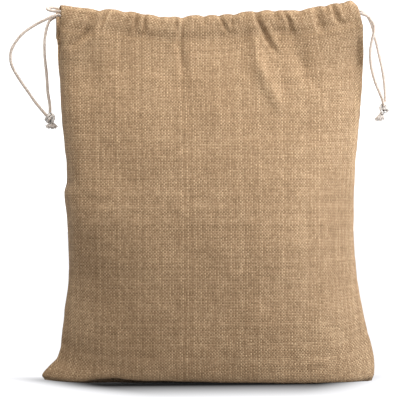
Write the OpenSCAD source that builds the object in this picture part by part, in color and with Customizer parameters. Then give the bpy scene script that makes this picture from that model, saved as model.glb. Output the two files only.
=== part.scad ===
// Drawstring pouch of woven jute with two cotton drawcords.
// The bag stands on its base. X runs across it, -Y is the front and Z is up.
// The origin is on the ground at the middle of the base.

/* [Bag] */
// Width across the two bottom corners
bag_w = 354; // [344:2:364]
// Height of the mouth edge at the middle of the bag
mouth_z = 389; // [386:1:392]
// How much higher the mouth edge is at its two corners
mouth_rise = 15; // [13:1:16]
// Greatest depth of the filled bag, front to back
bag_d = 120; // [112:4:128]
// Thickness of the woven cloth
cloth_t = 1.2; // [1:0.1:1.3]

/* [Casing] */
// Height of the tunnel along the mouth
casing_h = 28; // [27:1:29]
// Thickness of the tunnel, front to back
casing_d = 11; // [10.5:0.5:12]
// Length of the tunnel, side to side
casing_w = 318; // [314:2:320]

/* [Seams] */
// Width of the seam allowance inside the bag
allowance_w = 9; // [7:1:10]
// Diameter of the sewing thread
thread_d = 0.9; // [0.7:0.1:1.1]

/* [Cords] */
// Diameter of the twisted cotton cord
cord_d = 3.2; // [2.6:0.1:3.2]
// Width of each knot
knot_w = 12; // [11:0.5:13]
// Width of the left frayed end
left_tassel_w = 15; // [13:1:17]
// Width of the right frayed end
right_tassel_w = 12; // [10:1:14]

/* [Hidden] */

jute = [0.70, 0.57, 0.42];
jute_inside = [0.62, 0.50, 0.37];
thread = [0.80, 0.72, 0.58];
cotton = [0.88, 0.84, 0.78];

// Widths at which the profile below was drawn
drawn_w = 354;
drawn_d = 120;
// Half of the gap left between two cloths that face each other in a seam
seam_gap = 0.15;
// Clearance between layers that lie on each other
layer_gap = 0.15;

// Rows of the panel from the bottom seam to the casing. Each row has the half depth at the middle,
// the height at the middle, the height at the side seam, half the gap of the side slit,
// and how square the left side is.
rows = [
    [0, 0, 5, 0, 0],
    [14, 0, 7, 0, 0],
    [28, 0, 9, 0, 0],
    [37, 0, 12, 0, 0],
    [44, 3, 17, 0, 0],
    [48, 9, 24, 0, 0],
    [51, 18, 33, 0, 0.1],
    [54, 30, 44, 0, 0.25],
    [57, 50, 60, 0, 0.55],
    [59, 80, 86, 0, 0.85],
    [60, 110, 113, 0, 1],
    [60, 140, 141, 0, 1],
    [58, 170, 170, 0, 1],
    [55, 200, 200, 0, 1],
    [51, 230, 230, 0, 1],
    [46, 260, 260, 0, 1],
    [40, 290, 290, 0, 1],
    [33, 318, 318, 0, 0.6],
    [27, 338, 338, 0, 0],
    [24, 350, 350, 9, 0],
    [22, 361, 361, 18, 0]
];
row_n = len(rows);
top_row = row_n - 1;
// First row of the side slit
slit_row = 18;
// First row of the side seam allowance
seam_row = 3;

// Half width of the bag at a height, drawn for the width above
side_widths = [
    [5, 177], [25, 169], [60, 162], [110, 155], [160, 153], [220, 155], [300, 161], [360, 162], [400, 162]
];

// Columns of the panel, closer together towards the side seams
col_n = 25;
function col_u(i) = sin(90 * (2 * i / (col_n - 1) - 1));

function unit(v) = v / norm(v);
function mix(a, b, k) = a + (b - a) * k;
function clamp01(x) = min(1, max(0, x));

// How full the cross-section is at a place across the bag: 1 at the middle and 0 at the side seam
function fullness(u) = pow(max(0, 1 - pow(abs(u), 2.4)), 0.8);
// How full a square side is: nearly flat, with a tight bend at the side seam
function square_fullness(u) = (1 - 0.4 * u * u) * pow(max(0, 1 - pow(abs(u), 30)), 0.5);
function row_fullness(u, row) = mix(fullness(u), square_fullness(u), u < 0 ? row[4] : 0);
// How far a place has turned from the flat base to the lifted corner
function corner(u) = pow(clamp01((abs(u) - 0.6) / 0.4), 2.5);
// Rise of the mouth edge towards its corners
function rise(u) = mouth_rise * pow(abs(u), 1.8);

// Point of the panel's outer face at a place across the bag, in one row
function panel_point(u, row) =
    let (
        at_top = clamp01((row[1] - 230) / 131),
        lift = mouth_z - 389,
        z = mix(row[1], row[2], corner(u)) + (rise(u) + lift) * at_top,
        depth = row[3] + (row[0] * bag_d / drawn_d - row[3]) * row_fullness(u, row)
    )
    [u * lookup(row[2], side_widths) * bag_w / drawn_w, -seam_gap - depth, z];

panel_grid = [for (i = [0:col_n - 1]) [for (j = [0:row_n - 1]) panel_point(col_u(i), rows[j])]];

// Direction out of the bag at a grid point
function panel_normal(i, j) =
    let (
        across = panel_grid[min(i + 1, col_n - 1)][j] - panel_grid[max(i - 1, 0)][j],
        along = panel_grid[i][min(j + 1, top_row)] - panel_grid[i][max(j - 1, 0)]
    )
    unit(cross(across, along));

// The panel's surface pushed into the bag by a distance, kept on its own side of the seams
// and under the panel's top edge
function pushed(i, j, by) =
    let (p = panel_grid[i][j] - by * panel_normal(i, j))
    [p[0], min(p[1], -seam_gap), min(p[2], panel_grid[i][top_row][2])];

// Closed sheet between two distances under the panel's outer face
module sheet(i0, i1, j0, j1, from, to) {
    ni = i1 - i0 + 1;
    nj = j1 - j0 + 1;
    layer = ni * nj;
    points = [
        for (by = [from, to]) for (i = [i0:i1]) for (j = [j0:j1]) pushed(i, j, by)
    ];
    function id(i, j, inner) = i * nj + j + (inner ? layer : 0);
    outer_faces = [
        for (i = [0:ni - 2]) for (j = [0:nj - 2]) each [
            [id(i, j, false), id(i, j + 1, false), id(i + 1, j + 1, false)],
            [id(i, j, false), id(i + 1, j + 1, false), id(i + 1, j, false)]
        ]
    ];
    inner_faces = [for (f = outer_faces) [f[0] + layer, f[2] + layer, f[1] + layer]];
    rim = [
        for (j = [0:nj - 2]) [0, j],
        for (i = [0:ni - 2]) [i, nj - 1],
        for (j = [nj - 1:-1:1]) [ni - 1, j],
        for (i = [ni - 1:-1:1]) [i, 0]
    ];
    rim_n = len(rim);
    rim_faces = [
        for (k = [0:rim_n - 1])
            let (a = rim[k], b = rim[(k + 1) % rim_n])
            each [
                [id(a[0], a[1], false), id(a[0], a[1], true), id(b[0], b[1], true)],
                [id(a[0], a[1], false), id(b[0], b[1], true), id(b[0], b[1], false)]
            ]
    ];
    polyhedron(points, concat(outer_faces, inner_faces, rim_faces), convexity = 6);
}

// Closed solid through a list of rings that have equal numbers of points
module skin(rings) {
    n = len(rings);
    m = len(rings[0]);
    side_faces = [
        for (i = [0:n - 2]) for (k = [0:m - 1])
            let (a = i * m + k, b = i * m + (k + 1) % m)
            each [[a, b, b + m], [a, b + m, a + m]]
    ];
    start_cap = [[for (k = [m - 1:-1:0]) k]];
    end_cap = [[for (k = [0:m - 1]) (n - 1) * m + k]];
    polyhedron([for (ring = rings) each ring], concat(side_faces, start_cap, end_cap), convexity = 6);
}

// Round tube along a route. No stretch of the route runs along the reference direction.
module tube(route, d, reference, sides = 8) {
    last = len(route) - 1;
    skin([
        for (i = [0:last])
            let (
                ahead = unit(route[min(i + 1, last)] - route[max(i - 1, 0)]),
                side = unit(cross(ahead, reference)),
                up = cross(side, ahead)
            )
            [
                for (k = [0:sides - 1])
                    route[i] + d / 2 * (cos(360 * k / sides) * side - sin(360 * k / sides) * up)
            ]
    ]);
}

module back_side() {
    mirror([0, 1, 0]) children();
}

module right_side() {
    mirror([1, 0, 0]) children();
}

/* Cloth */

module panel() {
    sheet(0, col_n - 1, 0, top_row, 0, cloth_t);
}

module front_panel() {
    color(jute) panel();
}

module back_panel() {
    color(jute) back_side() panel();
}

// Turned edge of a side slit, on the inside of the panel
slit_cols = 4;

module slit_hem() {
    color(jute_inside)
        sheet(0, slit_cols, slit_row, top_row, cloth_t + layer_gap, 2 * cloth_t + layer_gap);
}

module left_front_slit_hem() {
    slit_hem();
}

module left_back_slit_hem() {
    back_side() slit_hem();
}

module right_front_slit_hem() {
    right_side() slit_hem();
}

module right_back_slit_hem() {
    right_side() back_side() slit_hem();
}

// Middle of the tunnel at a place along it
top_depth = rows[top_row][0];
top_gap = rows[top_row][3];

function casing_middle(u) = [
    u * casing_w / 2,
    -top_gap - (top_depth - top_gap) * fullness(u),
    mouth_z + rise(u) - casing_h / 2
];

// Ring of the tunnel's wall: a flattened round outline
casing_sides = 16;
function squared(x) = sign(x) * sqrt(abs(x));
function casing_ring(u, wall) = [
    for (k = [0:casing_sides - 1])
        let (a = 360 * (k + 0.5) / casing_sides)
        casing_middle(u) + [
            0,
            (casing_d / 2 - wall) * squared(cos(a)),
            (casing_h / 2 - wall) * squared(sin(a))
        ]
];

// Open-ended tunnel
module casing() {
    m = casing_sides;
    stations = [for (i = [0:col_n - 1]) 2 * i / (col_n - 1) - 1];
    n = len(stations);
    points = [
        for (wall = [0, cloth_t]) for (u = stations) each casing_ring(u, wall)
    ];
    layer = n * m;
    outer_faces = [
        for (i = [0:n - 2]) for (k = [0:m - 1])
            let (a = i * m + k, b = i * m + (k + 1) % m)
            each [[a, b + m, b], [a, a + m, b + m]]
    ];
    inner_faces = [for (f = outer_faces) [f[0] + layer, f[2] + layer, f[1] + layer]];
    end_faces = [
        for (k = [0:m - 1])
            let (a = k, b = (k + 1) % m, far = (n - 1) * m)
            each [
                [a, b, b + layer],
                [a, b + layer, a + layer],
                [far + a, far + b + layer, far + b],
                [far + a, far + a + layer, far + b + layer]
            ]
    ];
    polyhedron(points, concat(outer_faces, inner_faces, end_faces), convexity = 6);
}

module front_casing() {
    color(jute) translate([0, 0, layer_gap]) casing();
}

module back_casing() {
    color(jute) back_side() translate([0, 0, layer_gap]) casing();
}

// Two layers of cloth that stand inside the bag along the left side seam
seam_half = cloth_t;

module side_seam() {
    color(jute_inside)
        skin([
            for (j = [seam_row:slit_row])
                let (p = panel_grid[0][j], x0 = p[0] + cloth_t / 2, x1 = p[0] + allowance_w)
                [
                    [x0, -seam_half, p[2]],
                    [x1, -seam_half, p[2]],
                    [x1, seam_half, p[2]],
                    [x0, seam_half, p[2]]
                ]
        ]);
}

module left_side_seam() {
    side_seam();
}

module right_side_seam() {
    right_side() side_seam();
}

// The bottom seam's allowance stops short of the corners
bottom_cols = [3:col_n - 4];

module bottom_seam() {
    color(jute_inside)
        skin([
            for (i = bottom_cols)
                let (p = panel_grid[i][0], z0 = p[2] + cloth_t / 2, z1 = p[2] + allowance_w)
                [
                    [p[0], -seam_half, z0],
                    [p[0], -seam_half, z1],
                    [p[0], seam_half, z1],
                    [p[0], seam_half, z0]
                ]
        ]);
}

/* Thread */

// How far under the panel's top edge the tunnel is sewn
stitch_drop = 2;

module casing_stitches() {
    color(thread)
        tube(
            [for (i = [0:col_n - 1]) panel_grid[i][top_row] - [0, 0, stitch_drop]],
            thread_d, [0, 0, 1], 6
        );
}

module front_casing_stitches() {
    casing_stitches();
}

module back_casing_stitches() {
    back_side() casing_stitches();
}

// The thread lies on the allowance's front face, in its middle
module side_seam_thread() {
    color(thread)
        tube(
            [
                for (j = [seam_row + 1:slit_row - 1])
                    panel_grid[0][j] + [allowance_w / 2, seam_gap - seam_half, 0]
            ],
            thread_d, [0, 1, 0], 6
        );
}

module left_seam_thread() {
    side_seam_thread();
}

module right_seam_thread() {
    right_side() side_seam_thread();
}

module bottom_seam_thread() {
    color(thread)
        tube(
            [for (i = bottom_cols) panel_grid[i][0] + [0, seam_gap - seam_half, allowance_w / 2]],
            thread_d, [0, 0, 1], 6
        );
}

/* Cords */

// Each cord goes through both tunnels, and its two ends come out on one side.
left_run = [
    [-161, -20, 388], [-150, -20, 386], [-130, -20, 383], [-100, -20, 381], [-60, -20, 380],
    [0, -20, 379.5], [70, -20, 379.5], [130, -20, 380], [150, -20, 380.5], [158, -18.8, 380.5],
    [162, -15, 380.5], [164, -8, 380.5], [164.5, 0, 380.5], [164, 8, 380.5], [162, 15, 380.5],
    [158, 18.8, 380.5], [150, 20, 380.5], [130, 20, 380], [70, 20, 379.5], [0, 20, 379.5],
    [-60, 20, 380], [-100, 20, 381], [-130, 20, 383], [-150, 20, 386], [-161, 20, 388]
];
left_front_end = [
    [-163, -20.4, 388], [-167, -20.6, 386.5], [-172, -20, 384], [-184, -17, 378], [-197, -15, 369],
    [-206, -13, 358], [-210, -11, 348], [-209, -10, 336], [-202, -8, 323], [-193, -6, 310],
    [-183, -4, 296], [-172, -3, 283]
];
left_back_end = [
    [-163, 20, 388], [-166.5, 20, 384.5], [-169.2, 19.3, 379.5], [-171, 18.3, 373],
    [-172.4, 16.5, 365], [-173, 14, 357], [-172.7, 12, 345], [-171, 9, 326], [-170, 6, 308],
    [-168, 4, 294], [-168, 3, 283]
];
right_run = [
    [161, -20, 391.5], [150, -20, 389], [130, -20, 386.5], [100, -20, 385], [60, -20, 384.5],
    [0, -20, 384], [-60, -20, 384.5], [-100, -20, 385], [-130, -19.8, 387], [-150, -18.8, 390],
    [-159, -16.6, 391.7], [-165, -12.5, 392.3], [-169.5, -7, 393.7], [-171, 0, 395.4],
    [-169.5, 7, 397], [-165, 12.5, 397.6], [-159, 16.4, 397], [-150, 18.8, 394.6], [-140, 19.4, 391.5],
    [-130, 19.8, 389.3], [-100, 20, 386], [-60, 20, 384.5], [0, 20, 384], [60, 20, 384.5],
    [100, 20, 385], [130, 20, 387.5], [145, 20, 391.5], [155, 20, 395.5], [161, 20, 397.5]
];
right_front_end = [
    [163, -20, 391], [168, -20, 388.7], [172, -19.3, 384], [174.7, -18.5, 378.5],
    [174.8, -17.3, 371.5], [173.4, -16, 365], [171.8, -14, 354], [172, -12.5, 344],
    [174, -10.5, 332], [178, -8, 320], [182.6, -5.5, 310], [186.5, -4, 301], [188.6, -3, 294]
];
right_back_end = [
    [163, 20, 397.4], [166.5, 20, 396.8], [170.5, 19.8, 395], [174, 19.5, 391.8], [177, 19, 387],
    [179.7, 18, 379.5], [182.3, 16.5, 368], [186, 14, 351], [189.3, 11, 334], [191, 8, 319],
    [191.3, 5, 305], [190.5, 3, 294]
];

left_knot_at = [-169, 0, 280];
right_knot_at = [189.6, 0, 291];
left_knot_tilt = 0;
right_knot_tilt = 20;
knot_h = 9;
tassel_h = 9;
tassel_neck_w = 6;
// How far the frayed end reaches into the knot
tassel_overlap = 1;

// Knot of stacked turns round a core, about the way the cord leaves it
module knot() {
    turn_r = cord_d * 0.7;
    turn_at = knot_w / 2 - turn_r;
    spread = knot_h / 2 - turn_r;
    color(cotton)
        rotate_extrude($fn = 32)
            intersection() {
                union() {
                    for (z = [-spread, 0, spread]) translate([turn_at, z]) circle(turn_r, $fn = 32);
                    translate([0, -spread - turn_r * 0.8])
                        square([turn_at, 2 * spread + turn_r * 1.6]);
                }
                translate([0, -knot_h]) square([knot_w, 2 * knot_h]);
            }
}

module tassel(w) {
    color(cotton)
        translate([0, 0, -knot_h / 2 - tassel_h + tassel_overlap])
            cylinder(h = tassel_h, r1 = w / 2, r2 = tassel_neck_w / 2, $fn = 32);
}

module left_cord_run() {
    color(cotton) tube(left_run, cord_d, [0, 0, 1]);
}

module left_cord_front_end() {
    color(cotton) tube(left_front_end, cord_d, [0, 1, 0]);
}

module left_cord_back_end() {
    color(cotton) tube(left_back_end, cord_d, [0, 1, 0]);
}

module left_knot() {
    translate(left_knot_at) rotate([0, left_knot_tilt, 0]) knot();
}

module left_tassel() {
    translate(left_knot_at) rotate([0, left_knot_tilt, 0]) tassel(left_tassel_w);
}

module right_cord_run() {
    color(cotton) tube(right_run, cord_d, [0, 0, 1]);
}

module right_cord_front_end() {
    color(cotton) tube(right_front_end, cord_d, [0, 1, 0]);
}

module right_cord_back_end() {
    color(cotton) tube(right_back_end, cord_d, [0, 1, 0]);
}

module right_knot() {
    translate(right_knot_at) rotate([0, right_knot_tilt, 0]) knot();
}

module right_tassel() {
    translate(right_knot_at) rotate([0, right_knot_tilt, 0]) tassel(right_tassel_w);
}

front_panel();
back_panel();
front_casing();
back_casing();
left_front_slit_hem();
left_back_slit_hem();
right_front_slit_hem();
right_back_slit_hem();
left_side_seam();
right_side_seam();
bottom_seam();
front_casing_stitches();
back_casing_stitches();
left_seam_thread();
right_seam_thread();
bottom_seam_thread();
left_cord_run();
left_cord_front_end();
left_cord_back_end();
left_knot();
left_tassel();
right_cord_run();
right_cord_front_end();
right_cord_back_end();
right_knot();
right_tassel();
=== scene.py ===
"""Looks of the standing jute drawstring pouch. Lengths are in millimetres until a mesh is made in metres."""
import math

import bpy
import numpy as np
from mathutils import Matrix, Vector


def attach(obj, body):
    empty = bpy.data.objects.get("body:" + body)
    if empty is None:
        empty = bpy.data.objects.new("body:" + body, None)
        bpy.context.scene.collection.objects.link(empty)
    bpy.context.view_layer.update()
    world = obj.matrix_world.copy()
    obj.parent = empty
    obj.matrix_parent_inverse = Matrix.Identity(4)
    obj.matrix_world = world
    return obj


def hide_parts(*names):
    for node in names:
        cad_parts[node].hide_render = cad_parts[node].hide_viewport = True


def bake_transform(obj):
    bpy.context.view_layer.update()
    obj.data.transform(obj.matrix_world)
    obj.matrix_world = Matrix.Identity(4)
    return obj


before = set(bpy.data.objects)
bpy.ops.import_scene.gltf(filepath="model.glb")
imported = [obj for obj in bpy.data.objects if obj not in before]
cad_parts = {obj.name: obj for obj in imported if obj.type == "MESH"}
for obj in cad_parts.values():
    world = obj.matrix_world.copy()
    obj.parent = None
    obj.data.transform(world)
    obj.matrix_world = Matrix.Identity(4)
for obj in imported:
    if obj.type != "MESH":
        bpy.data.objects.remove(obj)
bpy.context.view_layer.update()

MM = 0.001
scene = bpy.context.scene

# ---------------------------------------------------------------- camera, light and floor

CAMERA_DISTANCE = 3.0
CAMERA_ELEVATION = math.radians(0.5)
# The camera stands a little to the object's left, so the left side seam is nearer
CAMERA_TURN = math.radians(-7)
VIEW_WIDTH = 0.424
VIEW_CENTRE = Vector((-0.009, 0, 0.194))
SENSOR = 36


def aim(obj, target):
    obj.rotation_euler = (Vector(target) - obj.location).to_track_quat("-Z", "Y").to_euler()


def add_camera():
    data = bpy.data.cameras.new("camera")
    data.sensor_width = SENSOR
    data.lens = SENSOR * CAMERA_DISTANCE / VIEW_WIDTH
    camera = bpy.data.objects.new("camera", data)
    scene.collection.objects.link(camera)
    level = math.cos(CAMERA_ELEVATION)
    away = Vector((
        level * math.sin(CAMERA_TURN), -level * math.cos(CAMERA_TURN), math.sin(CAMERA_ELEVATION),
    ))
    camera.location = VIEW_CENTRE + CAMERA_DISTANCE * away
    aim(camera, VIEW_CENTRE)
    scene.camera = camera


# Soft round lamps: direction from the object in degrees (azimuth towards the right, elevation),
# distance and width in metres, power in watts, and colour
LAMP_TARGET = Vector((0, 0, 0.25))
WARM, COOL = (1, 0.985, 0.96), (0.95, 1, 1.07)
LAMPS = {
    "key": (25, 50, 0.8, 0.5, 4.0, WARM),
    "side": (74, 20, 0.8, 0.5, 4.5, COOL),
    "fill": (-62, 55, 0.65, 0.4, 2.2, WARM),
}


def add_lamp(name, azimuth, elevation, distance, width, power, colour):
    data = bpy.data.lights.new(name, "AREA")
    data.shape = "DISK"
    data.size = width
    data.energy = power
    data.color = colour
    lamp = bpy.data.objects.new(name, data)
    scene.collection.objects.link(lamp)
    a, e = math.radians(azimuth), math.radians(elevation)
    away = Vector((math.cos(e) * math.sin(a), -math.cos(e) * math.cos(a), math.sin(e)))
    lamp.location = LAMP_TARGET + distance * away
    aim(lamp, LAMP_TARGET)


# Strength of the light from each side of the studio, of the light from all round, and of the white backdrop
WORLD_RIGHT, WORLD_LEFT, WORLD_FRONT, WORLD_BACK, WORLD_UP = 2.75, 0.5, 0.15, 0.35, 0.2
WORLD_BASE, BACKDROP = 0.04, 1.0
# Where the backdrop fades in, as the cosine of the angle from straight behind
BACKDROP_EDGE = (0.8, 0.97)


def put(tree, socket, value):
    """Give a node's input a value, or link it to another node's output."""
    if isinstance(value, bpy.types.NodeSocket):
        tree.links.new(value, socket)
    else:
        socket.default_value = value


def math_node(tree, operation, *values):
    node = tree.nodes.new("ShaderNodeMath")
    node.operation = operation
    for socket, value in zip(node.inputs, values):
        put(tree, socket, value)
    return node.outputs[0]


def range_node(tree, value, low, high, out_low=0.0, out_high=1.0, kind="LINEAR"):
    node = tree.nodes.new("ShaderNodeMapRange")
    node.interpolation_type = kind
    put(tree, node.inputs["Value"], value)
    for socket, v in zip(("From Min", "From Max", "To Min", "To Max"), (low, high, out_low, out_high)):
        node.inputs[socket].default_value = v
    return node.outputs["Result"]


def split_node(tree, vector):
    node = tree.nodes.new("ShaderNodeSeparateXYZ")
    tree.links.new(vector, node.inputs[0])
    return node.outputs


def add_world():
    """White backdrop behind the object, and soft light that is strongest from the right."""
    world = bpy.data.worlds.new("studio")
    world.use_nodes = True
    tree = world.node_tree
    way = split_node(tree, tree.nodes.new("ShaderNodeTexCoord").outputs["Generated"])
    total = WORLD_BASE
    for axis, sign, strength in (
        ("X", 1.0, WORLD_RIGHT), ("X", -1.0, WORLD_LEFT), ("Y", -1.0, WORLD_FRONT),
        ("Y", 1.0, WORLD_BACK), ("Z", 1.0, WORLD_UP),
    ):
        facing = math_node(tree, "MAXIMUM", math_node(tree, "MULTIPLY", way[axis], sign), 0.0)
        share = math_node(tree, "MULTIPLY", math_node(tree, "POWER", facing, 2.0), strength)
        total = math_node(tree, "ADD", share, total)
    backdrop = range_node(tree, way["Y"], *BACKDROP_EDGE, 0.0, BACKDROP, "SMOOTHSTEP")
    tree.links.new(math_node(tree, "ADD", total, backdrop), tree.nodes["Background"].inputs["Strength"])
    tree.nodes["Background"].inputs["Color"].default_value = (1, 1, 1, 1)
    scene.world = world


# The pale floor glows where it is seen at a low angle, apart from a soft shadow round the bag, which
# fades out ahead of it, behind it and outwards
FLOOR_TONE, FLOOR_HALF = 0.42, 8
LOW_ANGLE = (0.82, 0.92)
SHADOW_AHEAD, SHADOW_BEHIND, SHADOW_OUTWARD, SHADOW_TONE = (-0.03, -0.2), (0.04, 0.13), (0.12, 0.19), 0.01
SHADOW_FLARE = -0.35


def floor_material():
    material = bpy.data.materials.new("pale_floor")
    material.use_nodes = True
    tree = material.node_tree
    shader = tree.nodes["Principled BSDF"]
    angle = tree.nodes.new("ShaderNodeLayerWeight").outputs["Facing"]
    low_angle = range_node(tree, angle, *LOW_ANGLE, kind="SMOOTHSTEP")
    place = split_node(tree, tree.nodes.new("ShaderNodeTexCoord").outputs["Object"])
    outward = math_node(tree, "MULTIPLY_ADD", place["Y"], SHADOW_FLARE, math_node(tree, "ABSOLUTE", place["X"]))
    shadow = 1.0 - SHADOW_TONE
    for value, reach, kind in (
        (place["Y"], SHADOW_AHEAD, "LINEAR"), (place["Y"], SHADOW_BEHIND, "SMOOTHSTEP"),
        (outward, SHADOW_OUTWARD, "SMOOTHSTEP"),
    ):
        shadow = math_node(tree, "MULTIPLY", shadow, range_node(tree, value, *reach, 1.0, 0.0, kind))
    glow = math_node(tree, "SUBTRACT", 1.0, shadow)
    tree.links.new(math_node(tree, "MULTIPLY", low_angle, glow), shader.inputs["Emission Strength"])
    shader.inputs["Emission Color"].default_value = (0.98, 0.98, 1, 1)
    tone = math_node(tree, "MULTIPLY", math_node(tree, "SUBTRACT", 1.0, low_angle), FLOOR_TONE)
    colour = tree.nodes.new("ShaderNodeCombineXYZ")
    for socket in colour.inputs:
        tree.links.new(tone, socket)
    tree.links.new(colour.outputs[0], shader.inputs["Base Color"])
    shader.inputs["Roughness"].default_value = 0.9
    return material


def add_surroundings():
    add_world()
    scene.view_settings.view_transform = "Standard"
    for name, lamp in LAMPS.items():
        add_lamp(name, *lamp)
    floor = bpy.data.meshes.new("floor")
    r = FLOOR_HALF
    floor.from_pydata([(-r, -r, 0), (r, -r, 0), (r, r, 0), (-r, r, 0)], [], [(0, 1, 2, 3)])
    obj = bpy.data.objects.new("floor", floor)
    scene.collection.objects.link(obj)
    floor.materials.append(floor_material())


add_camera()
add_surroundings()

# ---------------------------------------------------------------- small tools


def smooth_table(table, at):
    """Catmull-Rom through the table's rows, at real-valued row positions."""
    table = np.asarray(table, float)
    at = np.clip(np.asarray(at, float), 0, len(table) - 1)
    i = np.minimum(at.astype(int), len(table) - 2)
    t = (at - i)[..., None]
    p0 = table[np.maximum(i - 1, 0)]
    p1 = table[i]
    p2 = table[i + 1]
    p3 = table[np.minimum(i + 2, len(table) - 1)]
    return 0.5 * (
        2 * p1
        + (p2 - p0) * t
        + (2 * p0 - 5 * p1 + 4 * p2 - p3) * t**2
        + (3 * p1 - p0 - 3 * p2 + p3) * t**3
    )


def smooth_lookup(table, key):
    """Smooth value at a key, for a table of (key, value) with rising keys."""
    table = np.asarray(table, float)
    place = np.interp(key, table[:, 0], np.arange(len(table)))
    return smooth_table(table[:, 1:], place)[..., 0]


def smoothstep(x):
    x = np.clip(x, 0, 1)
    return x * x * (3 - 2 * x)


def route_points(points, step=1.0):
    """Points a step apart on one smooth curve through a route."""
    dense = smooth_table(points, np.linspace(0, len(points) - 1, 40 * len(points)))
    run = np.r_[0, np.cumsum(np.linalg.norm(np.diff(dense, axis=0), axis=1))]
    n = max(4, int(round(run[-1] / step)) + 1)
    at = np.linspace(0, run[-1], n)
    return np.stack([np.interp(at, run, dense[:, k]) for k in range(3)], axis=1)


def random_field(seed, x, y, wave):
    """Smooth noise between about -1 and 1, with bumps about a wave apart."""
    rng = np.random.default_rng(seed)
    n = 64
    values = rng.uniform(-1, 1, (n, n))
    gx, gy = np.asarray(x) / wave, np.asarray(y) / wave
    ix, iy = np.floor(gx).astype(int), np.floor(gy).astype(int)
    fx, fy = smoothstep(gx - ix), smoothstep(gy - iy)
    a = values[ix % n, iy % n] * (1 - fx) + values[(ix + 1) % n, iy % n] * fx
    b = values[ix % n, (iy + 1) % n] * (1 - fx) + values[(ix + 1) % n, (iy + 1) % n] * fx
    return 1.6 * (a * (1 - fy) + b * fy)


def add_piece(name, verts, faces, material, uv, normals=None):
    """Mesh object from points in millimetres, with a weave UV in millimetres and normals for each face corner."""
    mesh = bpy.data.meshes.new(name)
    mesh.from_pydata((np.asarray(verts) * MM).tolist(), [], [list(map(int, f)) for f in faces])
    mesh.polygons.foreach_set("use_smooth", [True] * len(mesh.polygons))
    layer = mesh.uv_layers.new(name="weave")
    index = np.empty(len(mesh.loops), int)
    mesh.loops.foreach_get("vertex_index", index)
    layer.data.foreach_set("uv", np.asarray(uv, float)[index].ravel())
    mesh.materials.append(material)
    mesh.update()
    if normals is not None:
        mesh.normals_split_custom_set(np.asarray(normals, float).tolist())
    obj = bpy.data.objects.new(name, mesh)
    scene.collection.objects.link(obj)
    return obj


# ---------------------------------------------------------------- materials


class Nodes:
    """Short names for building a node tree."""

    def __init__(self, name):
        self.material = bpy.data.materials.new(name)
        self.material.use_nodes = True
        self.tree = self.material.node_tree
        self.shader = self.tree.nodes["Principled BSDF"]

    def put(self, socket, value):
        put(self.tree, socket, value)

    def math(self, operation, *values):
        return math_node(self.tree, operation, *values)

    def join(self, x, y, z=0.0):
        node = self.tree.nodes.new("ShaderNodeCombineXYZ")
        for socket, value in zip(node.inputs, (x, y, z)):
            self.put(socket, value)
        return node.outputs[0]

    def weave_uv(self):
        node = self.tree.nodes.new("ShaderNodeUVMap")
        node.uv_map = "weave"
        split = split_node(self.tree, node.outputs["UV"])
        return split[0], split[1]

    def noise(self, vector, scale, detail=2.0, rough=0.5):
        node = self.tree.nodes.new("ShaderNodeTexNoise")
        self.put(node.inputs["Vector"], vector)
        node.inputs["Scale"].default_value = scale
        node.inputs["Detail"].default_value = detail
        node.inputs["Roughness"].default_value = rough
        return node.outputs["Fac"]

    def white(self, vector):
        node = self.tree.nodes.new("ShaderNodeTexWhiteNoise")
        node.noise_dimensions = "2D"
        self.put(node.inputs["Vector"], vector)
        return node.outputs["Value"]

    def mix(self, factor, a, b):
        node = self.tree.nodes.new("ShaderNodeMix")
        node.data_type = "RGBA"
        self.put(node.inputs["Factor"], factor)
        self.put(node.inputs["A"], a)
        self.put(node.inputs["B"], b)
        return node.outputs["Result"]

    def ramp(self, *values):
        return range_node(self.tree, *values)

    def bump(self, height, distance, strength=1.0):
        node = self.tree.nodes.new("ShaderNodeBump")
        node.inputs["Strength"].default_value = strength
        node.inputs["Distance"].default_value = distance
        self.put(node.inputs["Height"], height)
        self.put(self.shader.inputs["Normal"], node.outputs["Normal"])


def rgb(r, g, b):
    """Linear colour from sRGB parts out of 255."""

    def linear(c):
        c /= 255
        return c / 12.92 if c <= 0.04045 else ((c + 0.055) / 1.055) ** 2.4

    return (linear(r), linear(g), linear(b), 1)


# Distance between the cloth's threads, how much lighter the upright ones are painted (painted light, standing in
# for the light they catch from the side), and how far all of them wander, with the scale of that wandering
THREAD_PITCH, WARP_PAINTED_LIGHT, WANDER, WANDER_SCALE = 1.73, 0.16, 2.6, 0.035


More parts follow.
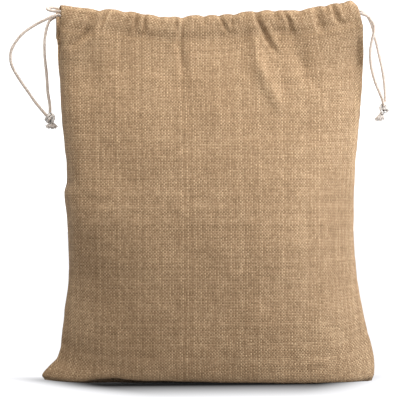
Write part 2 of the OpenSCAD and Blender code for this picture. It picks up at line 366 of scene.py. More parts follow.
def jute_material(name, light, mid, dark, gap):
    """Plain weave of uneven jute threads, each with its own tone, slubs and streaks, and painted shade in the gaps
    between.
    """
    n = Nodes(name)
    u, v = n.weave_uv()
    place = n.join(u, v)
    wander_u = n.math("MULTIPLY", n.math("SUBTRACT", n.noise(place, WANDER_SCALE), 0.5), WANDER)
    wander_v = n.math("MULTIPLY", n.math("SUBTRACT", n.noise(n.join(v, u, 7.0), WANDER_SCALE), 0.5), WANDER)
    tu = n.math("DIVIDE", n.math("ADD", u, wander_u), THREAD_PITCH)
    tv = n.math("DIVIDE", n.math("ADD", v, wander_v), THREAD_PITCH)
    iu, iv = n.math("FLOOR", tu), n.math("FLOOR", tv)
    fu = n.math("SUBTRACT", n.math("FRACT", tu), 0.5)
    fv = n.math("SUBTRACT", n.math("FRACT", tv), 0.5)

    def thread(across, index, along, seed):
        """Height profile and tone of the thread at a place, for threads that run along one way."""
        slub = n.noise(n.join(n.math("MULTIPLY", index, 3.7), n.math("MULTIPLY", along, 0.16), seed), 1.0, 2)
        half = n.ramp(slub, 0.25, 0.75, 0.36, 0.52)
        ratio = n.math("DIVIDE", across, half)
        round_top = n.math("SUBTRACT", 1.0, n.math("MULTIPLY", ratio, ratio))
        own = n.white(n.join(index, seed))
        streak = n.noise(
            n.join(n.math("MULTIPLY", n.math("ADD", index, across), 7.0), n.math("MULTIPLY", along, 0.9), seed),
            1.0, 3, 0.65,
        )
        tone = n.math("ADD", n.math("MULTIPLY", own, 0.15), n.math("MULTIPLY", streak, 0.55))
        return round_top, n.math("ADD", tone, n.math("MULTIPLY", slub, 0.18))

    warp, warp_tone = thread(fu, iu, tv, 1.0)
    weft, weft_tone = thread(fv, iv, tu, 2.0)
    half_turn_v = n.math("MULTIPLY", n.math("ADD", n.math("SUBTRACT", tv, 0.5), iu), math.pi)
    half_turn_u = n.math("MULTIPLY", n.math("ADD", n.math("SUBTRACT", tu, 0.5), iv), math.pi)
    warp_lift = n.math("COSINE", half_turn_v)
    weft_lift = n.math("MULTIPLY", n.math("COSINE", half_turn_u), -1.0)
    warp_height = n.math("ADD", warp, n.math("MULTIPLY", warp_lift, 0.55))
    weft_height = n.math("ADD", weft, n.math("MULTIPLY", weft_lift, 0.55))
    on_top = n.math("GREATER_THAN", warp_height, weft_height)
    height = n.math("MAXIMUM", n.math("MAXIMUM", warp_height, weft_height), -0.3)
    crossing = n.white(n.join(iu, iv, 5.0))
    # Painted light: upright threads on top are painted lighter than the crosswise ones
    tone = n.math("ADD", n.math("MULTIPLY", n.math("ADD", warp_tone, WARP_PAINTED_LIGHT), on_top),
                  n.math("MULTIPLY", weft_tone, n.math("SUBTRACT", 1.0, on_top)))
    tone = n.math("ADD", tone, n.math("MULTIPLY", crossing, 0.14))

    wide = n.noise(place, 0.016, 3, 0.55)
    tone = n.math("ADD", tone, n.ramp(wide, 0.3, 0.7, 0.0, 0.08))
    colour = n.mix(n.ramp(tone, 0.34, 0.64), dark, mid)
    colour = n.mix(n.ramp(tone, 0.64, 0.96), colour, light)
    # Painted shade: the colour darkens to the gap colour where the threads lie low
    colour = n.mix(n.ramp(height, 0.45, -0.15), colour, gap)
    fleck = n.noise(n.join(n.math("MULTIPLY", tu, 1.1), n.math("MULTIPLY", tv, 1.1), 11.0), 1.0, 1)
    colour = n.mix(n.ramp(fleck, 0.71, 0.77, 0.0, 0.85), colour, light)
    n.put(n.shader.inputs["Base Color"], colour)
    n.shader.inputs["Roughness"].default_value = 0.82
    n.shader.inputs["Specular IOR Level"].default_value = 0.18
    n.shader.inputs["Sheen Weight"].default_value = 0.05
    n.shader.inputs["Sheen Roughness"].default_value = 0.5
    fibre = n.noise(n.join(n.math("MULTIPLY", tu, 3.0), n.math("MULTIPLY", tv, 3.0)), 1.0, 3, 0.7)
    n.bump(n.math("ADD", height, n.math("MULTIPLY", fibre, 0.35)), 0.35 * MM, 0.9)
    return n.material


# Strands of the braid round a cord, the length of one of their turns, and how deep light goes in
BRAID_STRANDS, BRAID_TURN, SOFT_DEPTH = 6, 2.4, 7 * MM


def cord_material(name, light, dark, soft_light):
    """Braided cotton: fine crossing strands that spiral both ways, with painted shade in the grooves between them,
    fibre noise, and light inside it.
    """
    n = Nodes(name)
    around, along = n.weave_uv()
    turn = n.math("MULTIPLY", around, 2 * math.pi * BRAID_STRANDS)
    climb = n.math("MULTIPLY", along, 2 * math.pi / BRAID_TURN)
    one = n.math("SINE", n.math("ADD", turn, climb))
    other = n.math("SINE", n.math("SUBTRACT", turn, climb))
    braid = n.math("MAXIMUM", one, other)
    fibre = n.noise(n.join(n.math("MULTIPLY", around, 60.0), n.math("MULTIPLY", along, 1.2)), 1.0, 3, 0.6)
    soft = n.noise(n.join(n.math("MULTIPLY", around, 2.0), n.math("MULTIPLY", along, 0.12), 5.0), 1.0, 2)
    # Painted shade: the braid's crests are lighter and the grooves between strands darker
    tone = n.math("ADD", n.math("MULTIPLY", braid, 0.12), n.math("MULTIPLY", fibre, 0.45))
    tone = n.math("ADD", tone, n.math("MULTIPLY", soft, 0.45))
    n.put(n.shader.inputs["Base Color"], n.mix(n.ramp(tone, 0.2, 0.85), dark, light))
    n.shader.inputs["Roughness"].default_value = 0.88
    n.shader.inputs["Specular IOR Level"].default_value = 0.2
    n.shader.inputs["Subsurface Weight"].default_value = soft_light
    n.shader.inputs["Subsurface Radius"].default_value = (1, 1, 1)
    n.shader.inputs["Subsurface Scale"].default_value = SOFT_DEPTH
    n.bump(n.math("ADD", braid, n.math("MULTIPLY", fibre, 0.6)), 0.09 * MM, 0.5)
    return n.material


# The last colour of each jute is the painted shade in the gaps between its threads
JUTE = jute_material("jute", rgb(224, 194, 156), rgb(165, 135, 103), rgb(117, 91, 62), rgb(50, 35, 20))
# Darker copy of the jute: painted shade for the slit hems and for the seam allowances inside the bag
JUTE_PAINTED_SHADE = jute_material("jute_inside", rgb(170, 144, 112), rgb(126, 102, 75), rgb(90, 69, 47), rgb(38, 27, 17))
COTTON = cord_material("cotton_cord", rgb(197, 185, 175), rgb(178, 164, 153), 1.0)
# Lighter copy of the cotton for the knots: painted light against the shade in the knot's crevices
KNOT_PAINTED_LIGHT = cord_material("knot_cotton_painted_light", rgb(226, 216, 208), rgb(208, 196, 186), 1.0)
FRAYED = cord_material("frayed_cotton", rgb(240, 232, 225), rgb(222, 211, 202), 0.15)
THREAD = cord_material("sewing_thread", rgb(190, 160, 122), rgb(156, 126, 93), 0.0)

# ---------------------------------------------------------------- cords

CORD_D = 3.2

# Each cord as points in millimetres: round the mouth inside the tunnels, then its two hanging ends
LEFT_RUN = [
    (-161, -20, 388), (-150, -20, 386), (-130, -20, 383), (-100, -20, 380.4), (-60, -20, 379.2),
    (0, -20, 379), (70, -20, 379), (130, -20, 379), (150, -20, 379.2), (158, -18.8, 379.2),
    (162, -15, 379.2), (164, -8, 379.2), (164.5, 0, 379.2), (164, 8, 379.2), (162, 15, 379.2),
    (158, 18.8, 379.2), (150, 20, 379.2), (130, 20, 379), (70, 20, 379), (0, 20, 379),
    (-60, 20, 379.2), (-100, 20, 380.4), (-130, 20, 383), (-150, 20, 386), (-161, 20, 388),
]
LEFT_FRONT_END = [
    (-161, -20.2, 388), (-167, -20.6, 386.5), (-172, -20, 384), (-184, -17, 378), (-197, -15, 369),
    (-206, -13, 358), (-210, -11, 348), (-209, -10, 336), (-202, -8, 323), (-193, -6, 310),
    (-183, -4, 296), (-172, -3, 283),
]
LEFT_BACK_END = [
    (-161, 20, 388), (-166.5, 20, 384.5), (-169.2, 19.3, 379.5), (-171, 18.3, 373),
    (-172.4, 16.5, 365), (-173, 14, 357), (-172.7, 12, 345), (-171, 9, 326), (-170, 6, 308),
    (-168, 4, 294), (-168, 3, 283),
]
RIGHT_RUN = [
    (161, -20, 391.5), (150, -20, 389), (130, -20, 386), (100, -20, 384), (60, -20, 382.8),
    (0, -20, 382.6), (-60, -20, 382.6), (-100, -20, 383.6), (-130, -19.8, 386.4), (-150, -18.8, 390),
    (-159, -16.6, 391.7), (-165, -12.5, 392.3), (-169.5, -7, 393.7), (-171, 0, 395.4),
    (-169.5, 7, 397), (-165, 12.5, 397.6), (-159, 16.4, 397), (-150, 18.8, 394.6), (-140, 19.4, 391.5),
    (-130, 19.8, 388.6), (-100, 20, 384.6), (-60, 20, 382.8), (0, 20, 382.6), (60, 20, 382.6),
    (100, 20, 384), (130, 20, 387), (145, 20, 391.5), (155, 20, 395.5), (161, 20, 397.5),
]
RIGHT_FRONT_END = [
    (161, -20, 391.5), (168, -20, 388.7), (172, -19.3, 384), (174.7, -18.5, 378.5),
    (174.8, -17.3, 371.5), (173.4, -16, 365), (171.8, -14, 354), (172, -12.5, 344),
    (174, -10.5, 332), (178, -8, 320), (182.6, -5.5, 310), (186.5, -4, 301), (188.6, -3, 294),
]
RIGHT_BACK_END = [
    (161, 20, 397.5), (166.5, 20, 396.8), (170.5, 19.8, 395), (174, 19.5, 391.8), (177, 19, 387),
    (179.7, 18, 379.5), (182.3, 16.5, 368), (186, 14, 351), (189.3, 11, 334), (191, 8, 319),
    (191.3, 5, 305), (190.5, 3, 294),
]
LEFT_KNOT_AT = np.array([-169, 0, 280.0])
RIGHT_KNOT_AT = np.array([189.6, 0, 291])


def sweep(points, radius, sides):
    """Rings of a round tube that doesn't spin along its route, and the UV of each ring point."""
    points = np.asarray(points, float)
    ahead = np.gradient(points, axis=0)
    ahead /= np.linalg.norm(ahead, axis=1)[:, None]
    radius = np.broadcast_to(radius, len(points))
    side = np.cross(ahead[0], (0, 1, 0.02))
    side /= np.linalg.norm(side)
    run = np.r_[0, np.cumsum(np.linalg.norm(np.diff(points, axis=0), axis=1))]
    angles = 2 * math.pi * np.arange(sides) / sides
    verts, uv = [], []
    for p, a, r, s in zip(points, ahead, radius, run):
        side = side - a * side.dot(a)
        side /= np.linalg.norm(side)
        up = np.cross(a, side)
        verts.append(p + r * (np.cos(angles)[:, None] * side + np.sin(angles)[:, None] * up))
        uv.append(np.stack([angles / (2 * math.pi), np.full(sides, s)], axis=1))
    return np.concatenate(verts), np.concatenate(uv)


def tube_faces(rings, sides, first=0):
    faces = []
    for i in range(rings - 1):
        for k in range(sides):
            a = first + i * sides + k
            b = first + i * sides + (k + 1) % sides
            faces.append((a, b, b + sides, a + sides))
    faces.append(tuple(first + k for k in reversed(range(sides))))
    faces.append(tuple(first + (rings - 1) * sides + k for k in range(sides)))
    return faces


def tubes(name, routes, material, sides=16):
    """One object of several tubes, given as (points, radius)."""
    verts, uvs, faces, first = [], [], [], 0
    for points, radius in routes:
        v, uv = sweep(points, radius, sides)
        verts.append(v)
        uvs.append(uv)
        faces += tube_faces(len(points), sides, first)
        first += len(v)
    return add_piece(name, np.concatenate(verts), faces, material, np.concatenate(uvs))


def uneven(points, radius, seed):
    """A cord's radius, which varies a little along it."""
    run = np.arange(len(points)) * 1.0
    return radius * (1 + 0.03 * random_field(seed, run, run * 0, 9))


def turned(points, forward, slope):
    """Points of a knot leaned forward about X, then sloped about Y."""
    p = np.asarray(points, float)
    c, s = math.cos(forward), math.sin(forward)
    p = np.stack([p[:, 0], c * p[:, 1] - s * p[:, 2], s * p[:, 1] + c * p[:, 2]], axis=1)
    c, s = math.cos(slope), math.sin(slope)
    return np.stack([c * p[:, 0] + s * p[:, 2], p[:, 1], c * p[:, 2] - s * p[:, 0]], axis=1)


def knot_routes(hand, forward, slope, neck):
    """Cord wound round the middle of an overhand knot, its core, and the lobe that crosses to the neck below."""
    t = np.linspace(0, 1, 100)
    turns, wound, pitch = 2.4, 3.5, 2.55
    angle = math.radians(75) + hand * 2 * math.pi * turns * t
    r = wound * np.minimum(1, np.minimum(t, 1 - t) * 9) ** 0.5
    wrap = np.stack([r * np.cos(angle), 0.92 * r * np.sin(angle), pitch * turns * (0.5 - t)], axis=1)
    h = float(hand)
    lobe = [(0.6 * h, 1.5, 4.4), (-2.6 * h, -0.6, 4.6), (-4.6 * h, -2.0, 2.4), (-4.7 * h, -2.6, -0.4),
            (-3.3 * h, -2.6, -3.2), (0.5 * neck[0] - 0.8 * h, -1.2, -5.0), (neck[0], 0, neck[1] - 1.5)]
    core = [(0, 0, 4.6), (0.3, 0.2, 1.5), (0, 0, -1.5), (0.5 * neck[0], 0, -3.4), (neck[0], 0, neck[1])]
    return [
        (turned(wrap, forward, slope), 1.5), (route_points(lobe, 0.4), 1.4), (route_points(core, 0.4), 2.1),
    ]


def tassel_routes(seed, neck, lean, width, height):
    """Loose strands and fibres that fan out below the knot's neck."""
    rng = np.random.default_rng(seed)
    t = np.linspace(0, 1, 8)
    routes = []

    def strand(across, deep, length, thick, thin, curl):
        x = 0.9 * across * (1 - t) / width + (across + lean * length) * t**1.15 + curl[0] * np.sin(math.pi * t) * t
        y = 1.2 * deep * (1 - t) / width + deep * t**1.15 + curl[1] * np.sin(math.pi * t) * t
        shorter = 0.5 * (across * across + deep * deep) / width
        z = 0.8 - (length - shorter) * t
        points = np.stack([neck[0] + x, y, neck[1] + z], axis=1)
        routes.append((points, thick + (thin - thick) * t**2))

    for k in range(9):
        across = width / 2 * (k / 4 - 1) * 0.86
        strand(across, rng.uniform(-1.6, 1.6), height * rng.uniform(0.74, 0.9), 1.1, 0.75, (0, 0))
    for k in range(110):
        angle = rng.uniform(0, 2 * math.pi)
        spread = width / 2 * math.sqrt(rng.uniform(0.02, 1))
        curl = rng.uniform(-0.9, 0.9, 2)
        length = height * rng.uniform(0.7, 1.05)
        strand(spread * math.cos(angle), 0.55 * spread * math.sin(angle), length, 0.40, 0.18, curl)
    return routes


def add_drawcord(side, run, front_end, back_end, knot_at, knot, tassel):
    """One drawcord: the run inside the tunnels, its two hanging ends, their knot and the frayed tips."""
    body, ends_body = f"{side}_drawcord", f"{side}_cord_ends"
    run_points = route_points(run)
    piece = tubes(f"{side}_cord_in_tunnels", [(run_points, uneven(run_points, CORD_D / 2, 3))], COTTON)
    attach(piece, body)
    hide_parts(f"{side}_cord_run")

    # The knot takes the lighter cotton, as painted light
    knot = tubes(f"{side}_overhand_knot", [(p + knot_at, r) for p, r in knot_routes(*knot)], KNOT_PAINTED_LIGHT, 14)
    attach(knot, ends_body)
    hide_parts(f"{side}_knot")
    tassel = tubes(f"{side}_frayed_tips", [(p + knot_at, r) for p, r in tassel_routes(*tassel)], FRAYED, 6)
    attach(tassel, ends_body)
    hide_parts(f"{side}_tassel")

    for place, route in (("front", front_end), ("back", back_end)):
        points = route_points(route)
        end = tubes(f"{side}_hanging_{place}_end", [(points, uneven(points, CORD_D / 2, 5))], COTTON)
        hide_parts(f"{side}_cord_{place}_end")
        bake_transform(end)


# The neck below each knot, from the knot's middle. A knot is given as its hand, forward lean, slope and
# neck, and a tassel as its seed, neck, lean, width and height
LEFT_NECK, RIGHT_NECK = (2.4, -4.2), (-2.6, -4.0)
add_drawcord(
    "left", LEFT_RUN, LEFT_FRONT_END, LEFT_BACK_END, LEFT_KNOT_AT,
    (-1, math.radians(-12), math.radians(-38), LEFT_NECK), (11, LEFT_NECK, 0.04, 14.5, 8),
)
add_drawcord(
    "right", RIGHT_RUN, RIGHT_FRONT_END, RIGHT_BACK_END, RIGHT_KNOT_AT,
    (1, math.radians(-24), math.radians(-10), RIGHT_NECK), (13, RIGHT_NECK, -0.32, 11, 10),
)

# ---------------------------------------------------------------- cloth

# Rows of a panel from the bottom seam to the tunnel: half depth at the middle, height at the middle,
# height at the side seam, half the gap of the side slit, and how square the left side is
PANEL_ROWS = [
    (0, 0.4, 5, 0, 0), (14, 0.3, 7, 0, 0), (28, 0.3, 9, 0, 0), (37, 0.6, 12, 0, 0), (43.4, 3, 17, 0, 0),
    (47, 9, 24, 0, 0), (49.4, 18, 33, 0, 0), (51.6, 30, 44, 0, 0), (54.4, 50, 60, 0, 0.1),
    (57.4, 80, 86, 0, 0.2), (59.5, 110, 113, 0, 0.38), (60.3, 140, 141, 0, 0.72), (59, 170, 170, 0, 0.95),
    (55.5, 200, 200, 0, 1), (51, 230, 230, 0, 1), (46, 260, 260, 0, 1), (40, 290, 290, 0, 1),
    (34, 318, 318, 1, 1), (28.5, 338, 338, 9, 1), (25.4, 350, 350, 14.5, 1), (23.2, 361, 361, 18, 1),
]
# Section of the tunnel from its seam, over the mouth edge and down inside: how far it stands
# out from the seam, and how far it is below the mouth edge
CASING_SECTION = [
    (3.5, 28), (3.8, 24), (4.6, 19), (5.4, 13), (5.3, 7), (4.4, 3), (2.5, 0.6), (0, 0), (-2.9, 0.7), (-5.4, 3),
    (-6.6, 7.5), (-6.6, 14), (-5.2, 21), (-2, 26.5), (0.2, 30), (0.4, 34),
]
# How far the panel stands out where the tunnel begins, and from what height
TOP_PUFF, PUFF_FROM = 3.5, 322
# Heights of the tunnel's seam and of the mouth edge at the middle
PANEL_TOP, MOUTH_Z = 361, 389
# The cords' distance from the middle plane, and how far the tunnel's outer face stays from their middle
CORD_Y, CORD_ROOM = 20, 2.9

# Half widths of the bag by height
LEFT_EDGE = [
    (5, 174), (10, 176.5), (19, 169.5), (27, 161), (38, 157), (52, 155.5), (80, 152.5), (109, 148.5),
    (152, 148.8), (184, 151), (202, 153), (212, 150), (225, 150.2), (254, 152.8), (284, 155.8), (305, 156.8),
    (330, 158.2), (348, 159), (361, 159.2), (376, 159.6), (400, 160.2),
]
RIGHT_EDGE = [
    (5, 176), (12, 178.5), (26, 178.5), (38, 175.5), (52, 171.3), (80, 165.2), (109, 160), (152, 156.5),
    (184, 156.5), (225, 157.5), (260, 160.5), (305, 164.2), (326, 165.6), (348, 165.2), (366, 163), (380, 161.6),
    (392, 158.8), (400, 156.6),
]
# How far the front edge of the left slit lies inside the back edge, and from what height
SLIT_STEP, SLIT_STEP_FROM = 1.8, 345

# Pleats of the mouth: points (x, z) down the crease, its width and its depth
FRONT_PLEATS = [
    ([(-124, 393), (-127, 382), (-134, 366), (-145, 357)], 4.3, 7.5),
    ([(-111, 394), (-114, 386), (-119, 376)], 2.4, 3.8),
    ([(-79, 390), (-80, 382), (-81, 372)], 1.8, 3.2),
    ([(-69, 389), (-70, 384), (-71, 369)], 1.8, 3.4),
    ([(-55, 387), (-55, 378)], 3.0, 1.2),
    ([(-39, 386), (-39, 374)], 1.9, 2.6),
    ([(-27, 388), (-31, 372), (-34, 355), (-31, 337), (-31, 312)], 3.6, 3.2),
    ([(-8, 389), (-8, 379)], 2.4, 1.8),
    ([(8, 390), (11, 383), (17, 370)], 2.0, 3.4),
    ([(24, 392), (22, 382), (21, 370)], 1.9, 3.0),
    ([(48, 394), (49, 383), (55, 373), (60, 362), (68, 349)], 2.8, 5.4),
    ([(66, 395), (68, 384)], 2.4, 1.6),
    ([(76, 396), (78, 390), (83, 382), (85, 369)], 2.4, 4.2),
    ([(95, 397), (97, 388)], 2.6, 1.6),
    ([(111, 399), (113, 390), (116, 374)], 3.8, 4.2),
    ([(122, 401), (123, 394)], 2.2, 1.6),
    ([(128, 403), (130, 398), (135, 381)], 2.8, 4.2),
]
# Dips of the mouth edge: x, depth, half width
FRONT_DIPS = [
    (-118, 2.2, 4.5), (-92, 1.6, 5), (-73, 1.2, 5), (-54, 1.2, 4), (-45, 0.8, 3), (-31, 1.8, 4.5), (-8, 1.8, 4),
    (8, 1.2, 3), (25, 1.8, 5), (49, 1.6, 5), (67, 1.4, 4), (95, 1.4, 5), (122, 1.6, 4), (139, 1.8, 4),
]
BACK_PLEATS = [([(6 - x, z) for x, z in line], width, depth) for line, width, depth in FRONT_PLEATS]
BACK_DIPS = [(6 - x, 0.3 * depth, width) for x, depth, width in FRONT_DIPS]

# Broad soft folds: two ends (x, z), width, and depth, which is negative for a ridge
FRONT_FOLDS = [
    ((-116, 362), (-108, 320), 12, -1.2), ((42, 378), (51, 332), 6, -2.2), ((51, 332), (68, 298), 8, -2.8),
    ((88, 362), (96, 338), 9, 3.0), ((159, 350), (159, 342), 9, 3.4), ((157, 310), (156, 300), 8, 2.2),
    ((-154, 206), (-136, 198), 8, 1.8), ((-146, 190), (-134, 120), 16, 1.4), ((-64, 320), (-72, 240), 16, -1.0),
    ((-4, 340), (4, 250), 16, -0.9), ((114, 120), (84, 40), 18, 1.6), ((62, 11), (118, 15), 4.5, 1.6),
]
BACK_FOLDS = [((20 - a[0], a[1]), (20 - b[0], b[1]), w, d) for a, b, w, d in FRONT_FOLDS]

# Height of the mouth edge by x
MOUTH_EDGE = [
    (-166, 398.5), (-156, 398), (-146, 396.4), (-130, 394.8), (-105, 394.2), (-80, 391.4), (-55, 387.6), (-35, 387.2),
    (-15, 388.8), (10, 389.4), (35, 392.6), (60, 394.6), (85, 394.6), (100, 396), (115, 398.8), (135, 402.4),
    (146, 404.2), (153, 405.4), (157, 402.8), (160, 400), (166, 396),
]
# How far the front hangs clear of the ground, by x
BASE_LIFT = [
    (-170, 0), (-150, 1.0), (-134, 2.8), (-122, 5.6), (-111, 7.0), (-100, 7.5), (-92, 6.2), (-83, 5.2), (-68, 4.4),
    (-52, 4.4), (-36, 3.7), (-15, 3.3), (1, 2.6), (17, 2.0), (49, 1.4), (80, 0.5), (111, 0), (170, 0),
]
# How far the right bottom corner lies under the left one
RIGHT_CORNER_DROP = 4

# Distance between the grid's rows on the panel and in the tunnel, and between its columns
GRID_STEP, TUNNEL_STEP, COLUMN_STEP = 2.0, 1.3, 1.25
HALF_WIDTH, MOUTH_HALF = 175, 160
CLOTH_T = 1.0
# Half the gap between the two cloths at a seam, and how far the cloth stays above the ground
SEAM_GAP, GROUND_GAP = 0.15, 0.25
# How far a pleat may draw the cloth in: near the mouth edge at the middle and at the sides, and below
MOUTH_PLEAT, SIDE_PLEAT, LOW_PLEAT = 4.4, 3.6, 7.0


def fullness(u):
    """How full the cross-section is at a place across the bag: 1 at the middle and 0 at the side seams."""
    return np.maximum(0, 1 - np.abs(u) ** 2.4) ** 0.8


def square_fullness(u):
    """How full a square side is: nearly flat, with a tight bend at the side seam."""
    return (1 - 0.4 * u * u) * np.maximum(0, 1 - np.abs(u) ** 30) ** 0.5


def corner(u):
    return np.clip((np.abs(u) - 0.6) / 0.4, 0, 1) ** 2.5


def pleat_depth(pleats, x, z):
    """How far the pleats draw the cloth in."""
    total = 0 * x
    for line, width, depth in pleats:
        line = np.array(line[::-1], float)
        low, high = line[0, 1], line[-1, 1]
        at = np.interp(z, line[:, 1], line[:, 0])
        down = (high - z) / (high - low)
        fade = smoothstep((1.25 - down) / 0.65) * smoothstep((z - low + 12) / 12)
        wide = width * (0.85 + 0.5 * np.clip(down, 0, 1.2))
        shape = np.exp(-(((x - at) / wide) ** 2)) - 0.32 * np.exp(-(((x - at) / wide / 2.4) ** 2))
        total = total + depth * fade * shape
    return total


def dip_depth(dips, x):
    return sum(depth * np.exp(-(((x - at) / width) ** 2)) for at, depth, width in dips)


def fold_depth(folds, x, z):
    total = 0 * x
    for (x0, z0), (x1, z1), width, depth in folds:
        dx, dz = x1 - x0, z1 - z0
        length = math.hypot(dx, dz)
        along = ((x - x0) * dx + (z - z0) * dz) / length
        off = ((x - x0) * dz - (z - z0) * dx) / length
        past = np.maximum(0, np.maximum(-along, along - length))
        total = total + depth * np.exp(-((off / width) ** 2) - (past / (1.6 * width)) ** 2)
    return total


def even_rows(table, step):
    """Row positions a step apart along the line of a table's first two columns."""
    at = np.linspace(0, len(table) - 1, 30 * len(table))
    line = smooth_table(table, at)[:, :2]
    run = np.r_[0, np.cumsum(np.linalg.norm(np.diff(line, axis=0), axis=1))]
    n = int(round(run[-1] / step)) + 1
    return np.interp(np.linspace(0, run[-1], n), run, at)


def cloth_grid(front):
    """Outer face of one side's cloth, from the bottom seam up to the mouth and down inside the tunnel."""
    pleats, dips, folds, seed = (
        (FRONT_PLEATS, FRONT_DIPS, FRONT_FOLDS, 20) if front else (BACK_PLEATS, BACK_DIPS, BACK_FOLDS, 40)
    )
    half = int(HALF_WIDTH / COLUMN_STEP)
    u = np.sin(0.5 * math.pi * np.linspace(-1, 1, 2 * half + 1))
    u = 0.55 * u + 0.45 * np.linspace(-1, 1, 2 * half + 1)
    rows = even_rows(PANEL_ROWS, GRID_STEP)
    depth0, z_mid, z_seam, gap, square = smooth_table(PANEL_ROWS, rows).T
    section = even_rows(CASING_SECTION, TUNNEL_STEP)[1:]
    out, below = smooth_table(CASING_SECTION, section).T
    n_panel = len(rows)

    # Height and depth of each point before any fold: the panel's rows, then the tunnel's
    U = u[:, None]
    at_top = np.clip((z_mid - 230) / (PANEL_TOP - 230), 0, 1)
    gap = np.maximum(gap, 0)
    edge_z = smooth_lookup(MOUTH_EDGE, U * MOUTH_HALF)
    z_panel = z_mid + (z_seam - z_mid) * corner(U) + (edge_z - MOUTH_Z) * at_top
    square = np.clip(square, 0, 1) * (U < 0)
    full = fullness(U) + (square_fullness(U) - fullness(U)) * square
    d_panel = gap + (depth0 - gap) * full
    d_panel = d_panel + TOP_PUFF * smoothstep((z_mid - PUFF_FROM) / (PANEL_TOP - PUFF_FROM))
    z_casing = edge_z - below
    top_gap, top_depth = PANEL_ROWS[-1][3], PANEL_ROWS[-1][0]
    d_casing = top_gap + (top_depth - top_gap) * full[:, -1:] + out
    Z = np.concatenate([z_panel, z_casing], axis=1)
    D = np.concatenate([d_panel, d_casing], axis=1)

    # Distance from the middle line, by the bag's outline on each side
    side_z = np.concatenate([np.broadcast_to(z_seam + 12 * at_top, z_panel.shape), z_casing], axis=1)
    left, right = smooth_lookup(LEFT_EDGE, side_z), smooth_lookup(RIGHT_EDGE, side_z)
    if front:
        left = left - SLIT_STEP * smoothstep((side_z - SLIT_STEP_FROM) / 20)
    X = U * np.where(U < 0, left, right)

    # Pleats, folds and ripple draw the cloth in, except at the side seams and at the bottom seam
    inner_wall = np.concatenate([0 * z_mid, smoothstep((0.5 - out) / 4)])
    at_edge = smoothstep((1 - np.abs(U)) / 0.05)
    off_base = np.concatenate([smoothstep((z_mid - 4) / 22), 1 + 0 * out])
    drawn_in = pleat_depth(pleats, X, Z)
    limit = np.where(Z > MOUTH_Z - 16, np.where(np.abs(X) < 110, MOUTH_PLEAT, SIDE_PLEAT), LOW_PLEAT)
    drawn_in = np.where(drawn_in > 0, limit * np.tanh(np.maximum(drawn_in, 0) / limit), drawn_in)
    drawn_in = drawn_in * (1 - inner_wall * 0.8) + fold_depth(folds, X, Z) * (1 - inner_wall)
    px, pz = X + 400, Z + 40
    ripple = 0.7 * random_field(seed, px, pz, 46) + 0.3 * random_field(seed + 1, px, pz, 17)
    ripple = ripple + 0.16 * random_field(seed + 2, px, pz, 7)
    D = D - (drawn_in + ripple) * at_edge * off_base
    puffed = 0.25 * random_field(seed + 3, px, pz, 12) * (1 - at_edge) * off_base
    X = X + np.sign(U) * puffed
    at_mouth = np.concatenate([0 * z_mid, np.exp(-((below / 9) ** 2))])
    Z = Z - dip_depth(dips, X) * at_mouth
    # The foot of the cloth hangs clear of the ground in places, and its right corner lies lower
    lifted = smooth_lookup(BASE_LIFT, X)
    skirt = np.concatenate([(0.2 + 0.8 * smoothstep((depth0 - 6) / 22)) * smoothstep((44 - z_mid) / 36), 0 * out])
    drop = np.concatenate([RIGHT_CORNER_DROP * smoothstep((30 - z_mid) / 30), 0 * out])
    Z = np.maximum(Z + lifted * skirt - drop * smoothstep((X - 120) / 50), GROUND_GAP)
    D = np.maximum(D, 0)

    # The two walls of the tunnel keep clear of the cords that slide between them
    beside_cord = np.concatenate([0 * z_mid, smoothstep((below - 0.5) / 2) * smoothstep((28 - below) / 4)])
    inner = np.concatenate([0 * z_mid, out]) < 0
    clear = np.where(inner, np.minimum(D, CORD_Y - CORD_ROOM), np.maximum(D, CORD_Y + CORD_ROOM))
    D = D + (clear - D) * beside_cord

    # Points, weave coordinates from the middle line and from the bottom seam, and normals
    side = -1 if front else 1
    outer = np.stack([X, side * (D + SEAM_GAP), Z], axis=2)
    step_u = np.linalg.norm(np.diff(outer, axis=0), axis=2)
    run_u = np.concatenate([np.zeros((1, outer.shape[1])), np.cumsum(step_u, axis=0)])
    run_u = run_u - run_u[half]
    mid_line = np.linalg.norm(np.diff(outer[half], axis=0), axis=1)
    run_v = np.broadcast_to(np.r_[0, np.cumsum(mid_line)], run_u.shape)
    normals = np.cross(np.gradient(outer, axis=0), np.gradient(outer, axis=1))
    normals /= np.maximum(np.linalg.norm(normals, axis=2), 1e-9)[..., None]
    if not front:
        normals = -normals
    return outer, normals, np.stack([run_u, run_v], axis=2), half, n_panel


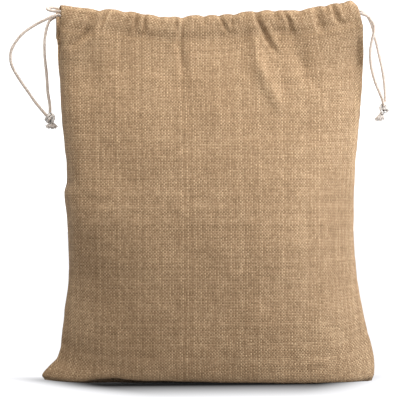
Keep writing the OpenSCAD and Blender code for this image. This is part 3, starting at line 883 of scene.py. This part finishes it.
def cloth_sheet(name, grid, columns, rows, material, front, start=0.0, thickness=CLOTH_T):
    """Closed sheet from a part of a cloth grid, with the grid's own smooth normals."""
    outer, normals, uv, _, _ = grid
    i0, i1 = columns
    j0, j1 = rows
    p, nrm, tex = outer[i0:i1, j0:j1], normals[i0:i1, j0:j1], uv[i0:i1, j0:j1]
    ni, nj = p.shape[:2]
    side = -1 if front else 1
    layers = []
    for by in (start, start + thickness):
        q = p - by * nrm
        q[..., 1] = side * np.maximum(side * q[..., 1], SEAM_GAP)
        q[..., 2] = np.maximum(q[..., 2], GROUND_GAP)
        layers.append(q.reshape(-1, 3))
    index = np.arange(ni * nj).reshape(ni, nj)
    a, b, c, d = index[:-1, :-1].ravel(), index[1:, :-1].ravel(), index[1:, 1:].ravel(), index[:-1, 1:].ravel()
    outside = np.stack([a, b, c, d], axis=1) if front else np.stack([a, d, c, b], axis=1)
    inside = outside[:, ::-1] + ni * nj
    border = np.concatenate([index[0, ::-1], index[1:, 0], index[-1, 1:], index[-2:0:-1, -1]])
    after = np.roll(border, -1)
    rim = np.stack([border, border + ni * nj, after + ni * nj, after], axis=1)
    if not front:
        rim = rim[:, ::-1]
    faces = np.concatenate([outside, inside, rim])
    verts = np.concatenate(layers)
    n_flat = nrm.reshape(-1, 3)
    corners = [n_flat[outside.ravel()], -n_flat[(inside - ni * nj).ravel()]]
    q = verts[rim]
    rim_normal = np.cross(q[:, 1] - q[:, 0], q[:, 3] - q[:, 0])
    rim_normal /= np.maximum(np.linalg.norm(rim_normal, axis=1), 1e-9)[:, None]
    corners.append(np.repeat(rim_normal, 4, axis=0))
    tex = tex.reshape(-1, 2)
    return add_piece(name, verts, faces, material, np.concatenate([tex, tex]), np.concatenate(corners))


def gather(piece):
    """Bake the placement of a piece of one half of the bag's cloth into its mesh."""
    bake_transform(piece)


STITCH_LENGTH, STITCH_GAP, STITCH_R, OVERLOCK_R = 3.2, 1.4, 0.42, 0.4
# Height of a stitch's points over the cloth: its ends go in, and its middle lies sunk
STITCH_LIFT = np.array([-0.7, -0.2, -0.1, -0.2, -0.7])


def stitch_row(name, points, normals, node):
    """Separate stitches along a line on the cloth."""
    run = np.r_[0, np.cumsum(np.linalg.norm(np.diff(points, axis=0), axis=1))]
    routes = []
    for s in np.arange(STITCH_GAP, run[-1] - STITCH_LENGTH, STITCH_LENGTH + STITCH_GAP):
        at = s + STITCH_LENGTH * np.array([0, 0.15, 0.5, 0.85, 1])
        line = np.stack([np.interp(at, run, points[:, k]) for k in range(3)], axis=1)
        out = np.stack([np.interp(at, run, normals[:, k]) for k in range(3)], axis=1)
        routes.append((line + out * STITCH_LIFT[:, None], STITCH_R * np.array([0.7, 1, 1, 1, 0.7])))
    piece = tubes(name, routes, THREAD, 6)
    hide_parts(node)
    return piece


# Width of a seam allowance, how much its edge wavers, the weave between its rows, and the bottom one's half length
ALLOWANCE, WAVER, STRIP_ROW, BOTTOM_HALF = 9, 0.5, 2.0, 160
# Columns in a turned hem, the height where the side slits start, and the hem's place and thickness
HEM_COLUMNS, SLIT_Z, HEM_START, HEM_T = 8, 352, CLOTH_T + 0.2, 0.9


def strip(name, rings):
    """Closed solid through rings of four points."""
    rings = np.asarray(rings, float)
    n, m = rings.shape[:2]
    uv = np.stack([np.tile([0, 0, 9, 9], n), np.repeat(np.arange(n) * STRIP_ROW, m)], axis=1)
    # Seam allowances take the darker jute, as painted shade
    return add_piece(name, rings.reshape(-1, 3), tube_faces(n, m), JUTE_PAINTED_SHADE, uv)


def add_cloth(front):
    place = "front" if front else "back"
    grid = cloth_grid(front)
    outer, normals, _, half, n_panel = grid
    last_col, last_row = outer.shape[:2]
    slit_from = int(np.argmin(np.abs(outer[0, :n_panel, 2] - SLIT_Z)))
    sides = (("left", (0, half + 1)), ("right", (half, last_col)))
    for side, columns in sides:
        panel = cloth_sheet(f"{place}_panel_{side}", grid, columns, (0, n_panel), JUTE, front)
        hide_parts(f"{place}_panel")
        casing = cloth_sheet(f"{place}_tunnel_{side}", grid, columns, (n_panel - 1, last_row), JUTE, front)
        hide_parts(f"{place}_casing")
        seam = slice(*columns), n_panel - 1
        stitches = stitch_row(
            f"{place}_tunnel_stitches_{side}", outer[seam], normals[seam], f"{place}_casing_stitches",
        )
        edge = (0, HEM_COLUMNS) if side == "left" else (last_col - HEM_COLUMNS, last_col)
        # The hem in the side slit takes the darker jute, as painted shade
        hem = cloth_sheet(
            f"{side}_{place}_turned_hem", grid, edge, (slit_from, n_panel), JUTE_PAINTED_SHADE, front, HEM_START, HEM_T,
        )
        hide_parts(f"{side}_{place}_slit_hem")
        for piece in (panel, casing, stitches, hem):
            gather(piece)
    return outer, slit_from


def add_seams(outer, slit_from):
    """Seam allowances and their thread, inside the bag."""
    t = CLOTH_T
    for side, column, sign in (("left", 0, 1), ("right", -1, -1)):
        line = outer[column, 6:slit_from]
        wave = WAVER * random_field(71, line[:, 2] + 300, 0 * line[:, 2], 9)
        x0, x1 = line[:, 0] + sign * 1.2, line[:, 0] + sign * (ALLOWANCE + wave)
        z = line[:, 2]
        rings = [[(a, -t, h), (b, -t, h), (b, t, h), (a, t, h)][::sign] for a, b, h in zip(x0, x1, z)]
        piece = strip(f"{side}_seam_allowance", rings)
        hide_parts(f"{side}_side_seam")
        gather(piece)
        zig = np.tile([3.0, 8.2], len(line))[:len(line)]
        for_thread = np.stack([line[:, 0] + sign * zig, np.full(len(line), -t - 0.3), z], axis=1)
        thread = tubes(f"{side}_overlock_thread", [(for_thread, OVERLOCK_R)], THREAD, 6)
        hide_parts(f"{side}_seam_thread")
        gather(thread)
    line = outer[np.abs(outer[:, 0, 0]) < BOTTOM_HALF, 0]
    base = line[:, 2] + 1.3
    top = line[:, 2] + ALLOWANCE + WAVER * random_field(73, line[:, 0] + 300, 0 * base, 9)
    rings = [[(x, -t, a), (x, -t, b), (x, t, b), (x, t, a)] for x, a, b in zip(line[:, 0], base, top)]
    piece = strip("bottom_seam_allowance", rings)
    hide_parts("bottom_seam")
    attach(piece, "bag")
    zig = np.tile([2.6, 7.6], len(line))[:len(line)]
    for_thread = np.stack([line[:, 0], np.full(len(line), -t - 0.3), line[:, 2] + zig], axis=1)
    thread = tubes("bottom_overlock_thread", [(for_thread, OVERLOCK_R)], THREAD, 6)
    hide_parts("bottom_seam_thread")
    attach(thread, "bag")


front_outer, slit_row = add_cloth(True)
add_cloth(False)
add_seams(front_outer, slit_row)
